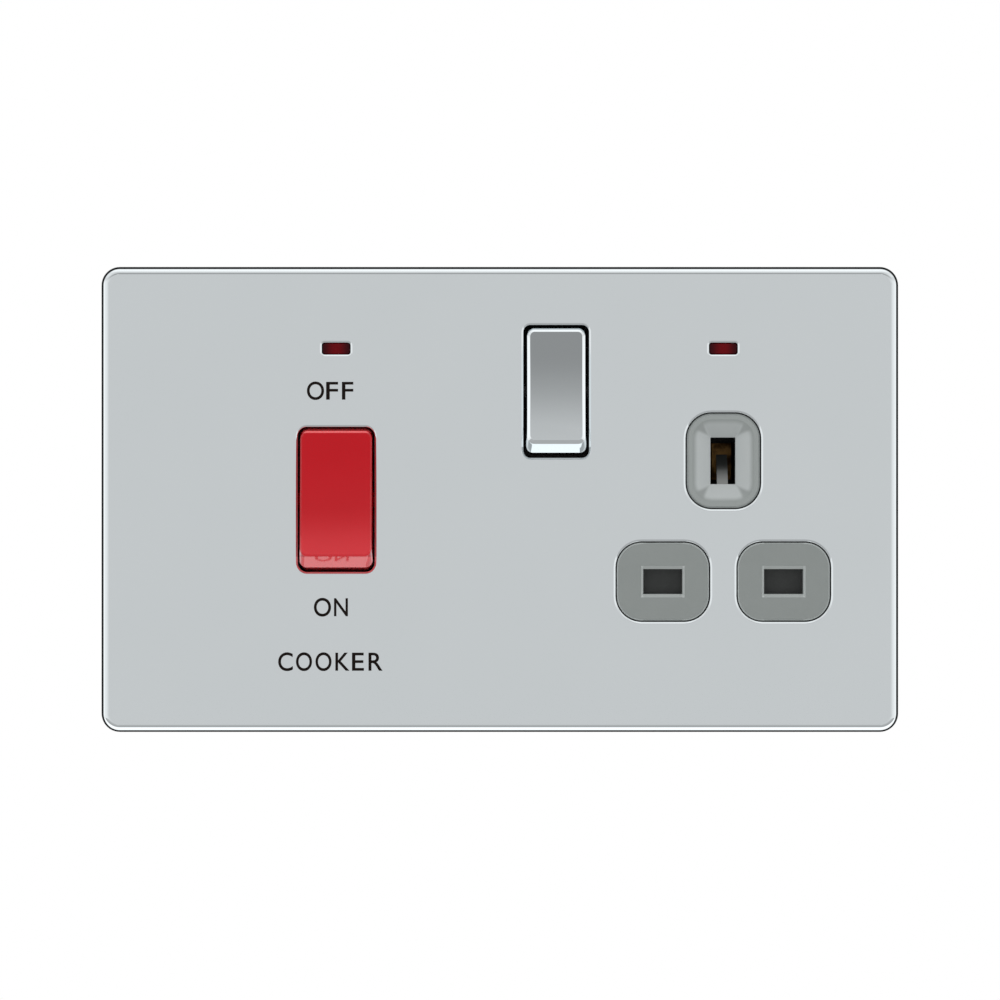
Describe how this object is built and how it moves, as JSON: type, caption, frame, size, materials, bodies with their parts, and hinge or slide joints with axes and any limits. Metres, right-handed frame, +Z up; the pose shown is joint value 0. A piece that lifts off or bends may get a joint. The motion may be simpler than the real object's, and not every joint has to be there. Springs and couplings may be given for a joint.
{
  "type": "cooker control unit",
  "caption": "Flush wall cooker control unit: polished chrome clip-on plate, red cooker rocker switch, chrome-capped socket rocker, neon windows and a shuttered earthed socket outlet.",
  "frame": {"origin": "centre of the plate on the wall plane, midway between the fixing holes", "axes": "+X to the right seen from the room, +Y into the wall, +Z up"},
  "size_m": [0.1466, 0.0325, 0.0856],
  "materials": {
    "polished_chrome": "polished",
    "red_plastic": "gloss",
    "grey_plastic": "satin",
    "black_plastic": "satin",
    "dark_grey_plastic": "satin",
    "brass": "rolled",
    "contact_silver": "turned",
    "screw_steel": "zinc plated",
    "spring_steel": "drawn wire",
    "red_lens": "clear moulding",
    "lamp_glass": "clear",
    "resistor_body": "lacquered"
  },
  "bodies": {
    "unit": {"front_plate": "polished_chrome", "clip_frame": "black_plastic", "base": "black_plastic", "base_screws": "screw_steel", "socket_front": "grey_plastic", "cooker_well": "black_plastic", "socket_well": "black_plastic", "live_supply_terminal": "brass", "neutral_supply_terminal": "brass", "live_load_terminal": "brass", "neutral_load_terminal": "brass", "live_feed_bar": "brass", "live_pin_contact": "brass", "neutral_pin_contact": "brass", "earth_pin_contact": "brass", "earth_terminal": "brass", "plate_earth_strap": "brass", "shutter_spring": "spring_steel", "fixed_contact_buttons": "contact_silver", "terminal_screws": "screw_steel", "cooker_neon_lens": "red_lens", "socket_neon_lens": "red_lens", "cooker_neon_lamp": "lamp_glass", "socket_neon_lamp": "lamp_glass", "cooker_neon_resistor": "resistor_body", "socket_neon_resistor": "resistor_body"},
    "cooker_switch_rocker": {"cooker_rocker": "red_plastic", "cooker_plungers": "screw_steel", "cooker_plunger_springs": "spring_steel"},
    "cooker_switch_contacts": {"cooker_live_bar": "brass", "cooker_neutral_bar": "brass", "cooker_moving_buttons": "contact_silver"},
    "socket_switch_rocker": {"socket_rocker_carrier": "black_plastic", "socket_rocker_cap": "polished_chrome", "socket_plunger": "screw_steel", "socket_plunger_spring": "spring_steel"},
    "socket_switch_contacts": {"socket_contact_bar": "brass", "socket_moving_button": "contact_silver"},
    "pin_shutter": {"shutter": "dark_grey_plastic"}
  },
  "joints": [
    {"name": "cooker_rocker_tilt", "type": "hinge", "parent": "unit", "child": "cooker_switch_rocker", "pos_m": [-0.03005, -0.0002, 0], "axis": [1, 0, 0], "range_deg": [0, 19]},
    {"name": "cooker_contact_tilt", "type": "hinge", "parent": "unit", "child": "cooker_switch_contacts", "pos_m": [-0.03005, 0.013, 0], "axis": [1, 0, 0], "range_deg": [-16, 0]},
    {"name": "socket_rocker_tilt", "type": "hinge", "parent": "unit", "child": "socket_switch_rocker", "pos_m": [0.01035, -0.0002, 0.01985], "axis": [1, 0, 0], "range_deg": [0, 19]},
    {"name": "socket_contact_tilt", "type": "hinge", "parent": "unit", "child": "socket_switch_contacts", "pos_m": [0.01035, 0.013, 0.01985], "axis": [1, 0, 0], "range_deg": [-16, 0]},
    {"name": "shutter_slide", "type": "slide", "parent": "unit", "child": "pin_shutter", "axis": [0, 0, -1], "range_m": [0, 0.006], "stiffness_N_per_m": 60, "springref_m": -0.004, "deforming": ["shutter_spring"]}
  ],
  "couplings": [
    {"joint": "cooker_contact_tilt", "follows": "cooker_rocker_tilt", "ratio": -0.8421},
    {"joint": "socket_contact_tilt", "follows": "socket_rocker_tilt", "ratio": -0.8421}
  ]
}
